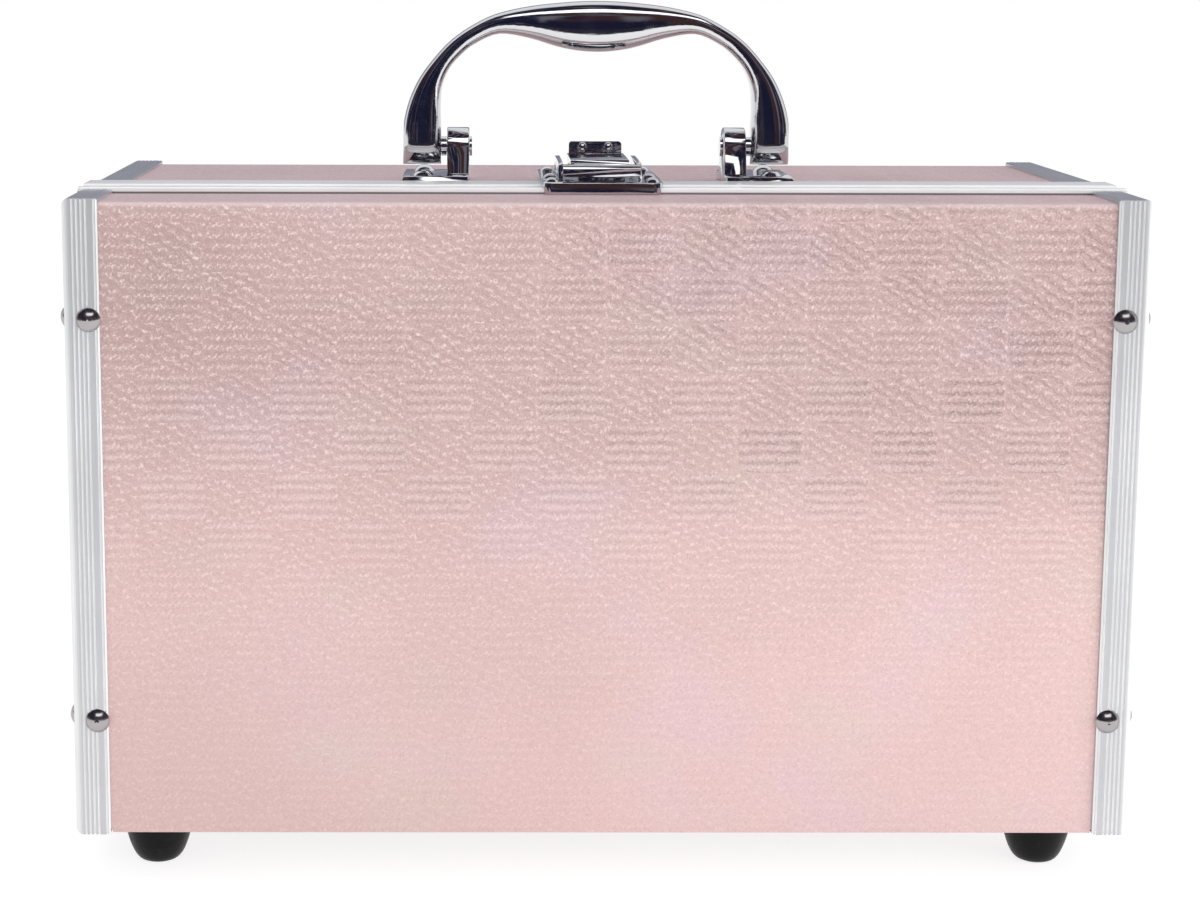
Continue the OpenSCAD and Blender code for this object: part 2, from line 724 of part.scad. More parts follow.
module latch_hook() {
    claw_top = nose_top + 0.8 + claw_t;
    claw_in = nose_front - 0.5;
    heel_y = seam_y - 0.4;
    color("#c4c6ca") difference() {
        union() {
            both_sides() along_x(arm_in, arm_in + arm_t) {
                translate([hook_y, hook_z]) circle(1.7);
                polygon([[hook_y, hook_z - 1], [hook_y, hook_z + 1.2], [lever_y - 3, hook_z + 1.4],
                    [heel_y, claw_top], [heel_y - 1.5, claw_top], [heel_y - 1.5, claw_top - claw_t],
                    [heel_y, claw_top - claw_t], [lever_y - 2.4, hook_z - 1]]);
            }
            along_x(-claw_w / 2, claw_w / 2) polygon(concat(
                [[heel_y, claw_top - claw_t], [heel_y, claw_top]],
                quarter([claw_in - claw_t + 1.2, claw_top - 1.2], 1.2, 90, 180),
                [[claw_in - claw_t, plate_z + 1.4], [claw_in - 0.4, plate_z + 1.2], [claw_in, plate_z + 1.6],
                    [claw_in, claw_top - claw_t]]));
        }
        rod(latch_pin_r + running, -far, far, [hook_y, hook_z]);
    }
}

// Tray and its arms

module tray() {
    cell = (2 * tray_x - tray_wall * (tray_cells + 1)) / tray_cells;
    color("#2b292b") difference() {
        union() {
            translate([0, 0, tray_z]) linear_extrude(tray_h)
                rounded_plan([-tray_x, tray_front], [tray_x, tray_back], 4);
            translate([0, 0, tray_z + tray_h - 1.6]) linear_extrude(1.6)
                rounded_plan([-tray_x, tray_front - 1.5], [tray_x, tray_back + 1.5], 5);
            both_sides() rod(link_r, tray_x - eps, lid_arm_x - 0.3, tray_pivot);
            both_sides() rod(link_r, tray_x - eps, tray_arm_x - 0.3, open_pivot);
        }
        for (i = [0 : tray_cells - 1])
            translate([-tray_x + tray_wall + i * (cell + tray_wall), 0, tray_z + tray_wall])
                linear_extrude(tray_h) rounded_plan([0, tray_front + tray_wall], [cell, tray_back - tray_wall], 3);
        for (at = [tray_pivot, open_pivot])
            both_sides() rod(link_pin_r + 0.02, tray_x - tray_wall - 1, tray_arm_x, at);
    }
}

module tray_pins() {
    color("#a0a2a5") both_sides() {
        rod(link_pin_r, tray_x - tray_wall, lid_arm_x + link_t + 0.3, tray_pivot);
        rod(2.8, lid_arm_x + link_t + 0.2, lid_arm_x + link_t + 0.9, tray_pivot);
        rod(link_pin_r, tray_x - tray_wall, tray_arm_x + link_t + 0.5, open_pivot);
        for (at = [tray_pivot, open_pivot]) rod(3, tray_x - tray_wall - 0.8, tray_x - tray_wall, at);
    }
}

module tray_arm(side) {
    color("#b4b6b9") for_side(side) difference() {
        link(stud_at, open_pivot, link_r, tray_arm_x, tray_arm_x + link_t);
        rod(link_pin_r + running, -far, far, stud_at);
        rod(link_pin_r + 0.3, -far, far, open_pivot);
    }
}

module arm_studs() {
    color("#a0a2a5") both_sides() {
        rod(link_r, tray_arm_x + link_t + 0.15, inner_x, stud_at);
        rod(link_pin_r, tray_arm_x - 0.9, inner_x - 0.5, stud_at);
        rod(3.1, tray_arm_x - 1, tray_arm_x - 0.15, stud_at);
    }
}

module lid_arm(side) {
    high = under_z - lining_t;
    top_at = [inner_y - link_r - 2.725, high];
    color("#b4b6b9") for_side(side) difference() {
        union() {
            intersection() {
                link(tray_pivot, top_at, link_r, lid_arm_x, lid_arm_x + link_t);
                block([0, -far, 0], [far, far, high]);
            }
            block([lid_arm_x - 12, top_at[0] - 9, high - link_t], [lid_arm_x + link_t, top_at[0] + 5, high]);
        }
        rod(link_pin_r + running, -far, far, tray_pivot);
    }
}

front_board();
ledge_board();
rear_board();
base_board();
ledge_seam_strip();
body_lining();
edging_rivets();
foot_screws();
arm_studs();
hinge_pins();
strike_plate();
strike_rivets();
lid_board();
lid_rim_rear();
lid_seam_strip();
lid_lining();
mirror_frame();
mirror_glass();  // mirror
handle_rivets();
latch_base();
latch_rivets();
lever_pin();
handle();
handle_pins();
latch_lever();
hook_pin();
latch_hook();
tray();
tray_pins();
for (s = side_names) {
    end_board(s);
    front_edging(s);
    rear_edging(s);
    base_edging(s);
    ledge_edging(s);
    body_hinge_leaf(s);
    lid_hinge_leaf(s);
    lid_rim(s);
    lid_edging(s);
    lid_arm(s);
    handle_base(s);
    tray_arm(s);
}
for (c = corner_names) {
    foot(c);
}
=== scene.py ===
# A makeup train case of covered boards, held together by ribbed aluminium edging.
# It stands shut on four rubber feet, with its bail handle up and its draw latch closed.
import math
import bpy
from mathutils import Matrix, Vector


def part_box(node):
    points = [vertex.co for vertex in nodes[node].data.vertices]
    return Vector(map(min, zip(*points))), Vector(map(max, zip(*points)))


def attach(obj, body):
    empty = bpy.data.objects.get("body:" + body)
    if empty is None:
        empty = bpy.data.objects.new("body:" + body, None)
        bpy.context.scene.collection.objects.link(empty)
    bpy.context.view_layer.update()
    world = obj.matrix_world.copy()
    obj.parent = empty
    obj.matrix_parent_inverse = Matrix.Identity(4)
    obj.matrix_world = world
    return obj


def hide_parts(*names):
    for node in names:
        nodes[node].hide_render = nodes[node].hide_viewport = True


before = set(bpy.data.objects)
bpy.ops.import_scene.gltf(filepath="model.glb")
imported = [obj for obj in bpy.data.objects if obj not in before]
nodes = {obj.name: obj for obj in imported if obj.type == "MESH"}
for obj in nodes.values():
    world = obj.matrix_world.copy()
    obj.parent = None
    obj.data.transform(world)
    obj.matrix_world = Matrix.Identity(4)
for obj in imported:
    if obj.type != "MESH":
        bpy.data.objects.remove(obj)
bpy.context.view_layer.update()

# ---------------------------------------------------------------- Front and ledge covering
# One sheet of pearl leatherette is glued over the front board and folded over the ledge.
# It is embossed with a checker of small patches, ribbed straight in one and aslant in the next.
fold_radius = 0.0014
rib_pitch = 0.0031
patch_w, patch_h = 0.0204, 0.0155
pearl_rose = (0.735, 0.510, 0.490)
pearl_lilac = (0.690, 0.515, 0.600)
pearl_sand = (0.665, 0.560, 0.490)
# Colours of the painted shade and of the painted highlights on the embossing.
painted_shade_colour = (0.390, 0.265, 0.252)
painted_highlight_colour = (0.900, 0.745, 0.735)
bend_scale, jitter_scale, break_scale = 330.0, 1100.0, 600.0
patch_scale, highlight_fleck_scale, pore_scale = 22.0, 800.0, 1650.0
slant_across, slant_up = 0.52, 0.86
patch_rim = 0.000004
far_off = 1.0
squarely = 0.7
slants_weak, slants_full = 0.125, 0.180
crests_none, crests_low, crests_high, crests_gone = 0.088, 0.122, 0.145, 0.175
ribs_gone, ribs_full = 0.092, 0.145
ribs_left, ribs_right = -0.17, 0.13
pores_faint, pores_full = 0.03, 0.17
shade_from, shade_full = 0.08, 0.20
shade_left, shade_right = -0.16, 0.02
emboss_relief = 0.00045


def feed(tree, socket, value):
    if isinstance(value, bpy.types.NodeSocket):
        tree.links.new(value, socket)
    else:
        socket.default_value = value


def calc(tree, operation, *values, clamp=False):
    node = tree.nodes.new("ShaderNodeMath")
    node.operation, node.use_clamp = operation, clamp
    for socket, value in zip(node.inputs, values):
        feed(tree, socket, value)
    return node.outputs[0]


def times(tree, *values):
    total = values[0]
    for value in values[1:]:
        total = calc(tree, "MULTIPLY", total, value)
    return total


def plus(tree, *values):
    total = values[0]
    for value in values[1:]:
        total = calc(tree, "ADD", total, value)
    return total


def less(tree, first, second):
    return calc(tree, "SUBTRACT", first, second)


def split(tree, vector):
    node = tree.nodes.new("ShaderNodeSeparateXYZ")
    tree.links.new(vector, node.inputs[0])
    return node.outputs


def ease(tree, value, low, high, to_low=0.0, to_high=1.0):
    node = tree.nodes.new("ShaderNodeMapRange")
    node.interpolation_type = "SMOOTHSTEP"
    ends = {"From Min": low, "From Max": high, "To Min": to_low, "To Max": to_high}
    feed(tree, node.inputs["Value"], value)
    for name, given in ends.items():
        feed(tree, node.inputs[name], given)
    return node.outputs["Result"]


def grain(tree, vector, scale, detail=2.0, rough=0.5, stretch=None):
    if stretch:
        mapping = tree.nodes.new("ShaderNodeMapping")
        mapping.inputs["Scale"].default_value = stretch
        tree.links.new(vector, mapping.inputs["Vector"])
        vector = mapping.outputs["Vector"]
    node = tree.nodes.new("ShaderNodeTexNoise")
    tree.links.new(vector, node.inputs["Vector"])
    feed(tree, node.inputs["Scale"], scale)
    node.inputs["Detail"].default_value = detail
    node.inputs["Roughness"].default_value = rough
    return node.outputs["Fac"]


def blend_colour(tree, factor, first, second, blend="MIX"):
    node = tree.nodes.new("ShaderNodeMix")
    node.data_type, node.blend_type = "RGBA", blend
    for index, value in ((0, factor), (6, first), (7, second)):
        if isinstance(value, tuple) and len(value) == 3:
            value = (*value, 1.0)
        feed(tree, node.inputs[index], value)
    return node.outputs[2]


def toned(tree, colour, tone):
    grey = tree.nodes.new("ShaderNodeCombineColor")
    for socket in grey.inputs:
        tree.links.new(tone, socket)
    return blend_colour(tree, 1.0, colour, grey.outputs[0], "MULTIPLY")


def new_group(name, inputs, outputs):
    group = bpy.data.node_groups.new(name, "ShaderNodeTree")
    for title, kind, default in inputs:
        kind = "NodeSocket" + kind
        socket = group.interface.new_socket(title, in_out="INPUT", socket_type=kind)
        if default is not None:
            socket.default_value = default
    for title, kind in outputs:
        group.interface.new_socket(title, in_out="OUTPUT", socket_type="NodeSocket" + kind)
    given, out = group.nodes.new("NodeGroupInput"), group.nodes.new("NodeGroupOutput")
    return group, given.outputs, out.inputs


def place_group(tree, group, **values):
    node = tree.nodes.new("ShaderNodeGroup")
    node.node_tree = group
    for name, value in values.items():
        feed(tree, node.inputs[name.replace("_", " ")], value)
    return node.outputs


def new_finish(name, **values):
    material = bpy.data.materials.new(name)
    material.use_nodes = True
    tree = material.node_tree
    shader = tree.nodes["Principled BSDF"]
    for title, value in values.items():
        value = (*value, 1.0) if isinstance(value, tuple) and len(value) == 3 else value
        shader.inputs[title.replace("_", " ")].default_value = value
    return material, tree, shader, tree.nodes.new("ShaderNodeTexCoord").outputs["Object"]


def raise_bumps(tree, shader, height, distance):
    bump = tree.nodes.new("ShaderNodeBump")
    bump.inputs["Distance"].default_value = distance
    bump.inputs["Strength"].default_value = 1.0
    tree.links.new(height, bump.inputs["Height"])
    tree.links.new(bump.outputs["Normal"], shader.inputs["Normal"])


def emboss_group():
    t, given, out = new_group(
        "Patch emboss",
        [("Position", "Vector", None), ("Facing", "Vector", None)],
        [("Painted valley shade", "Float"), ("Glint", "Float"), ("Height", "Float"), ("Pore height", "Float")],
    )
    place = given["Position"]
    x, y, z = split(t, place)
    facing = split(t, given["Facing"])

    # Across and up on the face: x and z, but y for x on the ends and y for z on the top.
    end_face = calc(t, "GREATER_THAN", calc(t, "ABSOLUTE", facing[0]), squarely)
    flat_face = calc(t, "GREATER_THAN", calc(t, "ABSOLUTE", facing[2]), squarely)
    across = plus(t, times(t, end_face, y), times(t, less(t, 1.0, end_face), x))
    up = plus(t, times(t, flat_face, y), times(t, less(t, 1.0, flat_face), z))

    # The checker: aslant is 1 in every other patch, and the rim of a patch is left plain.
    from_left, from_low = plus(t, across, far_off), plus(t, up, far_off)
    column = calc(t, "FLOOR", calc(t, "DIVIDE", from_left, patch_w))
    band = calc(t, "FLOOR", calc(t, "DIVIDE", from_low, patch_h))
    aslant = calc(t, "MODULO", plus(t, column, band), 2.0)
    level = less(t, 1.0, aslant)
    to_side = calc(t, "PINGPONG", from_left, patch_w / 2)
    to_end = calc(t, "PINGPONG", from_low, patch_h / 2)
    inside = ease(t, times(t, to_side, to_end), 0.0, patch_rim)

    # Rows of ribs that bend a little, with beads along them.
    bend = less(t, grain(t, place, bend_scale, 3.0, 0.6), 0.5)
    bend = times(t, bend, calc(t, "MULTIPLY_ADD", aslant, 0.8, 0.6))
    jitter = times(t, less(t, grain(t, place, jitter_scale, 2.0, 0.6), 0.5), 0.95)
    wobble = plus(t, bend, jitter)
    straight = calc(t, "DIVIDE", up, rib_pitch)
    slanted = plus(t, times(t, across, slant_across), times(t, up, slant_up))
    slanted = calc(t, "DIVIDE", slanted, rib_pitch)
    rows = plus(t, times(t, aslant, slanted), times(t, level, straight), wobble)
    row = calc(t, "FLOOR", rows)
    phase = less(t, rows, row)
    rib = calc(t, "COSINE", times(t, phase, 2 * math.pi))
    rib = calc(t, "MULTIPLY_ADD", rib, 0.5, 0.5)
    bead_pitch = calc(t, "MULTIPLY_ADD", aslant, rib_pitch * 0.35, rib_pitch * 0.62)
    along = plus(t, calc(t, "DIVIDE", across, bead_pitch), wobble, times(t, row, 0.5))
    beads = calc(t, "COSINE", times(t, along, 2 * math.pi))
    beads = calc(t, "MULTIPLY_ADD", beads, 0.5, 0.5)

    # Where the ribs break off, and where whole patches are weaker.
    broken = ease(t, grain(t, place, break_scale, 3.0, 0.65), 0.36, 0.52)
    broken = times(t, broken, inside)
    weak = ease(t, z, slants_weak, slants_full, -0.70, -0.10)
    weak = calc(t, "MULTIPLY_ADD", aslant, weak, 1.0)
    patchy = ease(t, grain(t, place, patch_scale, 2.0), 0.36, 0.62, 0.55, 1.0)
    patchy = times(t, patchy, weak)

    # Painted shade in the valleys, painted highlights as flecks on the beads, and painted
    # highlights on the crests low in the level patches.
    off_middle = calc(t, "ABSOLUTE", less(t, phase, 0.5))
    painted_valley_shade = times(t, ease(t, off_middle, 0.03, 0.22, 0.78, 0.0), broken, patchy)
    painted_fleck_highlight = ease(t, grain(t, place, highlight_fleck_scale, 3.0, 0.65), 0.40, 0.56)
    painted_fleck_highlight = times(t, ease(t, times(t, rib, beads), 0.30, 0.85), painted_fleck_highlight)
    low_down = ease(t, z, crests_gone, crests_high, 0.0, 0.42)
    low_down = times(t, low_down, ease(t, z, crests_none, crests_low))
    painted_crest_highlight = times(t, times(t, rib, broken), times(t, level, low_down))
    pores = grain(t, place, pore_scale, 4.0, 0.8)
    raised = times(t, rib, calc(t, "MULTIPLY_ADD", beads, 0.45, 0.55))
    height = times(t, raised, times(t, patchy, inside))
    height = plus(t, height, times(t, pores, 0.75))
    # The valley mask is painted shade and Glint is painted highlight, both mixed into the colour;
    # Height drives the bumps.
    t.links.new(painted_valley_shade, out["Painted valley shade"])
    t.links.new(calc(t, "MAXIMUM", painted_fleck_highlight, painted_crest_highlight), out["Glint"])
    t.links.new(pores, out["Pore height"])
    t.links.new(less(t, height, times(t, painted_valley_shade, 0.35)), out["Height"])
    return t


patch_emboss = emboss_group()


def leatherette_finish(name):
    material, tree, shader, place = new_finish(
        name, Roughness=0.42, Coat_Weight=0.12, Coat_Roughness=0.28
    )
    facing = tree.nodes["Texture Coordinate"].outputs["Normal"]
    emboss = place_group(tree, patch_emboss, Position=place, Facing=facing)
    x, y, z = split(tree, place)
    turn_x, turn_y, turn_z = split(tree, facing)

    # The pearl: rose, with clouds of lilac and sand, and painted shade that darkens it towards the
    # upper left.
    lilac = ease(tree, grain(tree, place, 17.0, 3.0), 0.50, 0.72, 0.0, 0.40)
    sand = grain(tree, place, 23.0, 3.0, stretch=(1.0, 1.0, 1.7))
    tint = blend_colour(tree, lilac, pearl_rose, pearl_lilac)
    tint = blend_colour(tree, ease(tree, sand, 0.52, 0.76, 0.0, 0.42), tint, pearl_sand)
    cloud = ease(tree, grain(tree, place, 9.0, 2.0), 0.30, 0.70, 0.93, 1.04)
    painted_shade_at_top = ease(tree, x, shade_left, shade_right, 0.715, 0.86)
    painted_shade = ease(tree, z, shade_from, shade_full, 0.96, painted_shade_at_top)
    tint = toned(tree, tint, times(tree, cloud, painted_shade))

    # The embossing, coloured with painted shade and painted highlights: pores everywhere, and ribs
    # that fade out below the middle.
    fine = ease(tree, z, pores_faint, pores_full, 0.55, 1.0)
    # Painted shade in the pores and painted highlights on their tops, stronger higher up.
    painted_pore_shade = times(tree, fine, ease(tree, emboss["Pore height"], 0.36, 0.49, 0.52, 0.0))
    painted_pore_highlight = times(tree, fine, ease(tree, emboss["Pore height"], 0.54, 0.67, 0.0, 0.52))
    tint = blend_colour(tree, painted_pore_shade, tint, painted_shade_colour)
    tint = blend_colour(tree, painted_pore_highlight, tint, painted_highlight_colour)
    upper = ease(tree, z, ribs_gone, ribs_full, 0.04, 1.0)
    upper = times(tree, upper, ease(tree, x, ribs_left, ribs_right, 0.38, 0.95))
    light = times(tree, emboss["Glint"], ease(tree, z, pores_faint, pores_full, 0.35, 1.0), 0.75)
    tint = blend_colour(tree, times(tree, emboss["Painted valley shade"], upper), tint, painted_shade_colour)
    tint = blend_colour(tree, light, tint, painted_highlight_colour)

    # Faces that look up get a painted lilac reflection, and the fold over the front edge gets a
    # painted highlight.
    painted_top_reflection = calc(tree, "MULTIPLY", turn_z, 0.32, clamp=True)
    folded = calc(tree, "MULTIPLY", times(tree, turn_y, turn_z), -2.0, clamp=True)
    tint = blend_colour(tree, painted_top_reflection, tint, pearl_lilac)
    tint = blend_colour(tree, times(tree, folded, 0.45), tint, painted_highlight_colour)
    tree.links.new(tint, shader.inputs["Base Color"])
    rough = calc(tree, "MULTIPLY_ADD", emboss["Painted valley shade"], 0.22, 0.40)
    tree.links.new(rough, shader.inputs["Roughness"])
    raise_bumps(tree, shader, times(tree, emboss["Height"], upper), emboss_relief)
    return material


def wear(finish, *names):
    for name in names:
        nodes[name].material_slots[0].material = finish


def leave_none():
    if bpy.context.object and bpy.context.object.mode == "EDIT":
        bpy.ops.object.mode_set(mode="OBJECT")
    bpy.ops.object.select_all(action="DESELECT")


def pick(piece, test, kind="faces"):
    leave_none()
    bpy.context.view_layer.objects.active = piece
    piece.select_set(True)
    for group in (piece.data.vertices, piece.data.edges, piece.data.polygons):
        for item in group:
            item.select = False
    if kind == "faces":
        for face in piece.data.polygons:
            face.select = test(face.center, face.normal)
    else:
        for edge in piece.data.edges:
            ends = [piece.data.vertices[v].co for v in edge.vertices]
            edge.select = test(*ends)
    bpy.ops.object.mode_set(mode="EDIT")
    bpy.ops.mesh.select_mode(type="FACE" if kind == "faces" else "EDGE")


def settle(piece, finish, body, smooth=40.0):
    leave_none()
    bpy.context.view_layer.objects.active = piece
    piece.select_set(True)
    bpy.ops.object.transform_apply(location=True, rotation=True, scale=True)
    bpy.ops.object.shade_smooth_by_angle(angle=math.radians(smooth))
    piece.data.materials.clear()
    piece.data.materials.append(finish)
    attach(piece, body)
    leave_none()


leatherette = leatherette_finish("Pearl leatherette")
front_low, front_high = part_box("front_board")
ledge_low, ledge_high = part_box("ledge_board")
lip, front_low.z = front_low.z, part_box("base_board")[0].z
lip_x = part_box("base_edging_right")[0].x - 0.0004
leave_none()
front_mid, front_size = (front_low + front_high) / 2, front_high - front_low
bpy.ops.mesh.primitive_cube_add(size=1, location=front_mid, scale=front_size)
front_cover = bpy.context.object
front_cover.name = "front_cover"
bpy.ops.object.transform_apply(location=True, rotation=True, scale=True)
cuts = (
    ((0, 0, ledge_low.z), (0, 0, 1)),
    ((lip_x, 0, 0), (1, 0, 0)),
    ((-lip_x, 0, 0), (1, 0, 0)),
)
for spot, across in cuts:
    pick(front_cover, lambda at, n: True)
    bpy.ops.mesh.bisect(plane_co=spot, plane_no=across)
pick(front_cover, lambda at, n: n.z < -0.9 and abs(at.x) < lip_x)
downward = (0, 0, lip - front_low.z)
bpy.ops.mesh.extrude_region_move(TRANSFORM_OT_translate={"value": downward})
pick(front_cover, lambda at, n: n.y > 0.9 and at.z > ledge_low.z)
backward = (0, ledge_high.y - front_high.y, 0)
bpy.ops.mesh.extrude_region_move(TRANSFORM_OT_translate={"value": backward})
edge_y, edge_z = front_low.y + 1e-5, front_high.z - 1e-5
pick(front_cover, lambda a, b: max(a.y, b.y) < edge_y and min(a.z, b.z) > edge_z, "edges")
bpy.ops.mesh.bevel(offset=fold_radius, segments=5, profile=0.5, affect="EDGES")
settle(front_cover, leatherette, "case")
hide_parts("front_board", "ledge_board")

# ---------------------------------------------------------------- Boards of the box and of the lid
# Wood fibre boards wrapped in the same leatherette close the ends, back, bottom and lid.
# Their edges are hidden under the edging, and the lid has narrow covered rims at its ends and back.
wear(leatherette, "rear_board", "base_board", "end_board_left", "end_board_right")
wear(leatherette, "lid_board", "lid_rim_left", "lid_rim_right", "lid_rim_rear")

# ---------------------------------------------------------------- Edging
# Drawn aluminium angle with fine grooves along each leg covers the corners of the box.
# It is satin anodised, and the drawing leaves faint streaks along its length.
satin_silver = (0.565, 0.572, 0.594)
# Painted dark shade for faces of the edging that look up.
painted_top_shade = (0.330, 0.340, 0.400)
# A painted highlight for the slopes of the grooves.
painted_slope_highlight = (0.97, 0.97, 0.98)
rough_spread = 0.10


def streak_group():
    t, given, out = new_group(
        "Drawn streaks",
        [
            ("Position", "Vector", None),
            ("Fineness", "Float", 900.0),
            ("Along X", "Float", 1.0),
            ("Along Y", "Float", 1.0),
            ("Along Z", "Float", 0.02),
        ],
        [("Streak", "Float"), ("Cloud", "Float")],
    )
    scale = t.nodes.new("ShaderNodeCombineXYZ")
    for socket, name in zip(scale.inputs, ("Along X", "Along Y", "Along Z")):
        t.links.new(given[name], socket)
    stretched = t.nodes.new("ShaderNodeVectorMath")
    stretched.operation = "MULTIPLY"
    t.links.new(given["Position"], stretched.inputs[0])
    t.links.new(scale.outputs[0], stretched.inputs[1])
    t.links.new(grain(t, stretched.outputs[0], given["Fineness"], 2.0), out["Streak"])
    t.links.new(grain(t, given["Position"], 30.0, 3.0), out["Cloud"])
    return t


drawn_streaks = streak_group()


def metal_finish(
    name, colour, rough, along, fineness=900.0, relief=0.00003, metallic=1.0,
    slope_highlight=None, front_shade=None, top_shade=None,
):
    material, tree, shader, place = new_finish(name, Metallic=metallic)
    streaks = place_group(
        tree, drawn_streaks, Position=place, Fineness=fineness,
        Along_X=along[0], Along_Y=along[1], Along_Z=along[2],
    )
    tone = calc(tree, "MULTIPLY_ADD", streaks["Streak"], 0.16, 0.92)
    tone = times(tree, tone, ease(tree, streaks["Cloud"], 0.3, 0.7, 0.96, 1.03))
    turn_x, turn_y, turn_z = split(tree, tree.nodes["Texture Coordinate"].outputs["Normal"])
    # Faces that look up get painted dark blue-grey shade.
    if top_shade:
        colour = blend_colour(tree, ease(tree, turn_z, 0.5, 0.9), colour, top_shade)
    # The slopes of the grooves get a painted highlight.
    if slope_highlight:
        slope_highlight_mask = calc(tree, "ABSOLUTE", times(tree, turn_x, turn_y, 1.8))
        colour = blend_colour(tree, slope_highlight_mask, colour, slope_highlight)
    # A dark line of painted shade along the foot of faces that look to the front.
    if front_shade:
        shadow_low, shadow_high = ledge_high.z + 0.0004, ledge_high.z + 0.0008
        in_shadow = ease(tree, split(tree, place)[2], shadow_low, shadow_high, 1.0, 0.0)
        in_shadow = times(tree, ease(tree, turn_y, -0.85, -0.45, 0.9, 0.0), in_shadow)
        colour = blend_colour(tree, in_shadow, colour, front_shade)
    tree.links.new(toned(tree, colour, tone), shader.inputs["Base Color"])
    rough = calc(tree, "MULTIPLY_ADD", streaks["Streak"], rough_spread, rough - rough_spread / 2)
    tree.links.new(rough, shader.inputs["Roughness"])
    raise_bumps(tree, shader, streaks["Streak"], relief)
    return material


upright_satin = metal_finish(
    "Satin aluminium upright", satin_silver, 0.34, (1.0, 1.0, 0.02),
    metallic=0.55, slope_highlight=painted_slope_highlight,
)
level_satin = metal_finish(
    "Satin aluminium level", satin_silver, 0.30, (1.0, 0.02, 1.0),
    metallic=0.65, top_shade=painted_top_shade,
)
for side in ("left", "right"):
    wear(upright_satin, "front_edging_" + side, "rear_edging_" + side)
    wear(level_satin, "base_edging_" + side, "ledge_edging_" + side, "lid_edging_" + side)

# ---------------------------------------------------------------- Seam strips
# Two brighter aluminium strips cross the top, one on the ledge and one on the edge of the lid.
# The front one has a raised band, and a dark line of painted shade lies along the foot of its front
# face.
bright_silver = (0.930, 0.930, 0.940)
painted_foot_shade = (0.10, 0.085, 0.09)
strip_satin = metal_finish(
    "Bright aluminium strip", bright_silver, 0.24, (0.02, 1.0, 1.0),
    metallic=0.22, front_shade=painted_foot_shade,
)
wear(strip_satin, "ledge_seam_strip", "lid_seam_strip")

# ---------------------------------------------------------------- Rivets
# Domed steel rivets, plated dark chrome, hold the edging near the ends of each upright.
# Small bright ones hold the plates of the handle and of the latch.
smoked_chrome = (0.430, 0.410, 0.415)
bright_chrome = (0.660, 0.665, 0.680)


def chrome_finish(name, colour, rough=0.05):
    material, tree, shader, place = new_finish(name, Metallic=1.0)
    haze = grain(tree, place, 160.0, 3.0)
    wipe = grain(tree, place, 700.0, 2.0, stretch=(0.15, 1.0, 1.0))
    tone = calc(tree, "MULTIPLY_ADD", haze, 0.10, 0.95)
    tree.links.new(toned(tree, colour, tone), shader.inputs["Base Color"])
    hazed = ease(tree, haze, 0.45, 0.75, rough, rough + 0.07)
    tree.links.new(plus(tree, hazed, times(tree, wipe, 0.02)), shader.inputs["Roughness"])
    raise_bumps(tree, shader, plus(tree, haze, wipe), 0.000012)
    return material


dark_chrome = chrome_finish("Smoked chrome", smoked_chrome, 0.17)
chrome = chrome_finish("Bright chrome", bright_chrome)
wear(dark_chrome, "edging_rivets")
wear(chrome, "handle_rivets", "latch_rivets", "strike_rivets")
wear(chrome, "lever_pin", "hook_pin", "handle_pins")

# ---------------------------------------------------------------- Feet
# Four turned rubber feet taper to a small sole and stand on the floor.
# Each is held up into the bottom board by a screw in its middle.
rubber_black, rubber_dust = (0.005, 0.005, 0.006), (0.020, 0.019, 0.021)
foot_rubber, tree, shader, place = new_finish(
    "Foot rubber", Base_Color=(0.008, 0.008, 0.009), Roughness=0.5, Specular_IOR_Level=0.15
)
dust = ease(tree, grain(tree, place, 240.0, 4.0, 0.6), 0.48, 0.74, 0.0, 0.5)
rubber = blend_colour(tree, dust, rubber_black, rubber_dust)
tree.links.new(rubber, shader.inputs["Base Color"])
tree.links.new(calc(tree, "MULTIPLY_ADD", dust, 0.4, 0.34), shader.inputs["Roughness"])
raise_bumps(tree, shader, grain(tree, place, 1600.0, 3.0, 0.6), 0.00008)
for side in ("left", "right"):
    wear(foot_rubber, "foot_front_" + side, "foot_rear_" + side)

# ---------------------------------------------------------------- Hinges, arms, studs and screws
# Zinc plated steel pressings: butt hinges at the back, stays on the lid and links to the tray.
# The plating has a cool grey tone with faint brush marks.
zinc_grey = (0.500, 0.515, 0.535)
zinc_plate = metal_finish("Zinc plated steel", zinc_grey, 0.34, (1.0, 0.12, 0.12), 600.0, 0.00002)
wear(zinc_plate, "foot_screws", "arm_studs", "hinge_pins", "tray_pins")
for side in ("left", "right"):
    wear(zinc_plate, "body_hinge_leaf_" + side, "lid_hinge_leaf_" + side)
    wear(zinc_plate, "lid_arm_" + side, "tray_arm_" + side)

# ---------------------------------------------------------------- Linings
# Black felt is glued to the boards inside the box and under the lid.
# Its short nap lies in soft clouds, with a few paler fibres.
felt_black, felt_brushed = (0.012, 0.011, 0.013), (0.026, 0.023, 0.026)
felt_fibre = (0.085, 0.078, 0.085)
felt, tree, shader, place = new_finish(
    "Black felt", Roughness=0.95, Sheen_Weight=0.35, Sheen_Roughness=0.5
)
nap = grain(tree, place, 1400.0, 4.0, 0.75)
lie = ease(tree, grain(tree, place, 40.0, 3.0), 0.35, 0.65, 0.0, 0.55)
tone = blend_colour(tree, lie, felt_black, felt_brushed)
tone = blend_colour(tree, ease(tree, nap, 0.60, 0.80, 0.0, 0.5), tone, felt_fibre)
tree.links.new(tone, shader.inputs["Base Color"])
raise_bumps(tree, shader, nap, 0.0004)
wear(felt, "body_lining", "lid_lining")

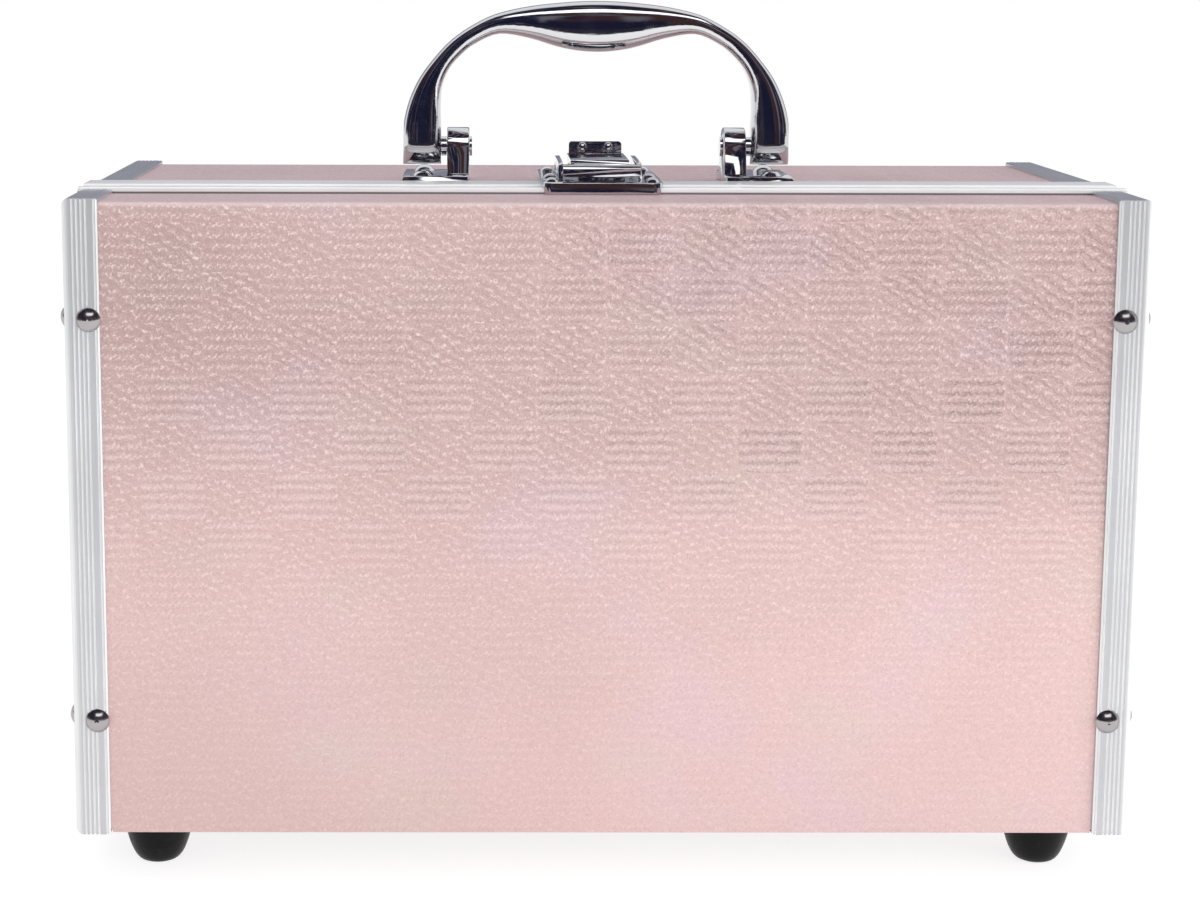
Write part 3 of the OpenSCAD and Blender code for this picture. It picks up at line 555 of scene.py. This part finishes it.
# ---------------------------------------------------------------- Mirror
# Silvered glass is set in a thin moulded frame under the lid.
# A few faint wipe marks dull it.
glass_silver, glass_wiped = (0.88, 0.90, 0.91), (0.80, 0.82, 0.83)
mirror_glass, tree, shader, place = new_finish(
    "Silvered glass", Base_Color=glass_silver, Metallic=1.0
)
wiped = grain(tree, place, 60.0, 4.0, 0.6, stretch=(0.3, 1.0, 1.0))
tree.links.new(ease(tree, wiped, 0.50, 0.80, 0.015, 0.10), shader.inputs["Roughness"])
dulled = ease(tree, wiped, 0.5, 0.8, 0.0, 0.3)
silver = blend_colour(tree, dulled, glass_silver, glass_wiped)
tree.links.new(silver, shader.inputs["Base Color"])
wear(mirror_glass, "mirror")

# ---------------------------------------------------------------- Tray and mirror frame
# The tray is moulded in black plastic with a fine spark-eroded grain, as is the mirror's frame.
# It is open on top and has a cell for each kind of thing.
plastic_black, plastic_rubbed = (0.016, 0.015, 0.016), (0.030, 0.028, 0.030)
tray_black, tree, shader, place = new_finish("Grained black plastic", Roughness=0.48)
eroded = grain(tree, place, 2400.0, 2.0, 0.6)
rubbed = ease(tree, grain(tree, place, 55.0, 3.0), 0.45, 0.75, 0.0, 0.5)
plastic = blend_colour(tree, rubbed, plastic_black, plastic_rubbed)
tree.links.new(plastic, shader.inputs["Base Color"])
tree.links.new(calc(tree, "MULTIPLY_ADD", rubbed, -0.16, 0.50), shader.inputs["Roughness"])
raise_bumps(tree, shader, eroded, 0.00010)
wear(tray_black, "tray", "mirror_frame")

# ---------------------------------------------------------------- Handle and its brackets
# The bail handle is cast in zinc, polished and chromed, with a swelling grip and two flat legs.
# Its pins turn in two brackets, which are riveted to the lid.
weld_distance = 0.000005


def eased_copy(name, body, finish, radius=0.0, smooth=35.0):
    leave_none()
    piece = nodes[name].copy()
    piece.data = nodes[name].data.copy()
    piece.name = name + "_eased"
    for key in list(piece.keys()):
        del piece[key]
    piece.parent = None
    bpy.context.scene.collection.objects.link(piece)
    pick(piece, lambda at, n: True)
    bpy.ops.mesh.remove_doubles(threshold=weld_distance)
    bpy.ops.object.mode_set(mode="OBJECT")
    if radius:
        pick(piece, lambda at, n: True)
        bpy.ops.mesh.dissolve_limited(angle_limit=math.radians(1.0))
        bpy.ops.object.mode_set(mode="OBJECT")
        bevel = piece.modifiers.new("Bevel", "BEVEL")
        bevel.width, bevel.segments = radius, 2
        bevel.limit_method, bevel.angle_limit = "ANGLE", math.radians(32)
        bevel.harden_normals = True
        bpy.ops.object.modifier_apply(modifier=bevel.name)
    settle(piece, finish, body, smooth)
    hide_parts(name)


eased_copy("handle", "handle", chrome, smooth=50.0)
for side in ("left", "right"):
    eased_copy("handle_base_" + side, "lid", chrome, 0.0004)

# ---------------------------------------------------------------- Draw latch
# Chromed pressings: a base with two ears on the lid, a lever that turns in them,
# and a hook on the lever that pulls on the nose of the strike plate in front of the seam.
pressings = {
    "latch_base": "lid",
    "latch_lever": "lever",
    "latch_hook": "hook",
    "strike_plate": "case",
}
for name, body in pressings.items():
    eased_copy(name, body, chrome, 0.00025)

# ---------------------------------------------------------------- Floor, light and camera
# The case stands on a plain white table, lit by soft lamps in front, above and at the right.
# The camera sees table and room white. Polished metal mirrors another room, with a bright
# wall, a window, dark panels and a table that is dark further off.
mirror_dark = (0.020, 0.019, 0.030)
white = (1.0, 1.0, 1.0)
table_size, table_y, table_glow = 12, 3, 1.30
mirror_dark_to, mirror_bright_from = -4.42, -4.26
wall_from, wall_to = (0.10, 0.36), (0.93, 0.985)
window_sill, window_head = (0.54, 0.60), (0.78, 0.84)
window_middle, window_side = 0.12, (0.34, 0.44)
panel_navy, panel_maroon = (0.012, 0.013, 0.036), (0.055, 0.028, 0.030)
panel_streak, panel_lit = (0.20, 0.19, 0.23), (0.95, 0.95, 0.97)
backdrop_blue, window_light = (0.20, 0.21, 0.27), (2.0, 2.0, 2.05)
camera_lens, camera_shift = 68.96, (0.10, -0.10)
camera_at, camera_turn = (-0.0415, -0.7644, 0.2799), (81.32, -0.13, -0.22)
leave_none()
bpy.ops.mesh.primitive_plane_add(size=table_size, location=(0, table_y, 0))
floor = bpy.context.object
floor.name = "floor"
white_table, tree, shader, place = new_finish(
    "White table", Base_Color=(0.93, 0.93, 0.93), Roughness=0.9
)
path = tree.nodes.new("ShaderNodeLightPath")
seen, mirrored = path.outputs["Is Camera Ray"], path.outputs["Is Glossy Ray"]
near = ease(tree, split(tree, place)[1], mirror_dark_to, mirror_bright_from)
glow = tree.nodes.new("ShaderNodeEmission")
lit = blend_colour(tree, calc(tree, "MAXIMUM", seen, near), mirror_dark, white)
tree.links.new(lit, glow.inputs["Color"])
glow.inputs["Strength"].default_value = table_glow
mixed = tree.nodes.new("ShaderNodeMixShader")
share = times(tree, mirrored, calc(tree, "MULTIPLY_ADD", near, -0.38, 1.0))
tree.links.new(calc(tree, "MULTIPLY_ADD", seen, 0.62, share), mixed.inputs[0])
tree.links.new(shader.outputs[0], mixed.inputs[1])
tree.links.new(glow.outputs[0], mixed.inputs[2])
tree.links.new(mixed.outputs[0], tree.nodes["Material Output"].inputs[0])
floor.data.materials.append(white_table)

world = bpy.data.worlds.new("Bright room")
bpy.context.scene.world = world
world.use_nodes = True
tree = world.node_tree
sky = tree.nodes["Background"]
path = tree.nodes.new("ShaderNodeLightPath")
around = tree.nodes.new("ShaderNodeTexCoord").outputs["Generated"]
side, away, up = split(tree, around)
wall = times(tree, ease(tree, away, *wall_from), ease(tree, away, *wall_to, 1.0, 0.35))
from_middle = calc(tree, "ABSOLUTE", less(tree, side, window_middle))
behind = ease(tree, away, -0.30, -0.36, 0.0, 1.0)
in_frame = times(tree, behind, ease(tree, from_middle, *window_side, 1.0, 0.0))
window = times(tree, ease(tree, up, *window_sill), ease(tree, up, *window_head, 1.0, 0.0))
window = times(tree, window, in_frame)
right_band = times(tree, ease(tree, away, -0.12, 0.06), ease(tree, side, 0.45, 0.60))
bright = calc(tree, "MAXIMUM", calc(tree, "MAXIMUM", wall, window), right_band)
backdrop = times(tree, ease(tree, away, 0.55, 0.75), ease(tree, up, 0.37, 0.47, 1.0, 0.0))
hue = ease(tree, grain(tree, around, 2.6, 2.0), 0.48, 0.62)
streak = ease(tree, grain(tree, around, 7.0, 3.0, stretch=(1.0, 1.0, 0.25)), 0.56, 0.66, 0.0, 0.8)
panel = blend_colour(tree, hue, panel_navy, panel_maroon)
panel = blend_colour(tree, streak, panel, panel_streak)
panel = blend_colour(tree, bright, panel, panel_lit)
panel = blend_colour(tree, times(tree, backdrop, 0.75), panel, backdrop_blue)
panel = blend_colour(tree, window, panel, window_light)
room = blend_colour(tree, path.outputs["Is Glossy Ray"], white, panel)
tree.links.new(room, sky.inputs["Color"])
strength = ease(tree, path.outputs["Is Diffuse Ray"], 0.0, 1.0, 1.0, 0.56)
tree.links.new(strength, sky.inputs["Strength"])

lamps = (
    ("front lamp", (0.35, -1.8, 0.55), 1.5, 13, (77, 0, 11)),
    ("top lamp", (-0.2, 0.3, 1.7), 1.2, 7, (0, 0, 0)),
    ("right lamp", (1.5, -0.8, 0.5), 1.0, 12, (76, 0, 62)),
)
for name, at, size, watts, turn in lamps:
    lamp = bpy.data.lights.new(name, "AREA")
    lamp.shape, lamp.size, lamp.energy = "SQUARE", size, watts
    holder = bpy.data.objects.new(name, lamp)
    holder.location, holder.visible_glossy = at, False
    holder.rotation_euler = [math.radians(a) for a in turn]
    bpy.context.scene.collection.objects.link(holder)

lens = bpy.data.cameras.new("camera")
lens.lens, lens.sensor_width = camera_lens, 36.0
lens.shift_x, lens.shift_y = camera_shift
lens.clip_start, lens.clip_end = 0.02, 50
camera = bpy.data.objects.new("camera", lens)
camera.location = camera_at
camera.rotation_euler = [math.radians(a) for a in camera_turn]
bpy.context.scene.collection.objects.link(camera)
bpy.context.scene.camera = camera
bpy.context.scene.view_settings.view_transform = "Standard"
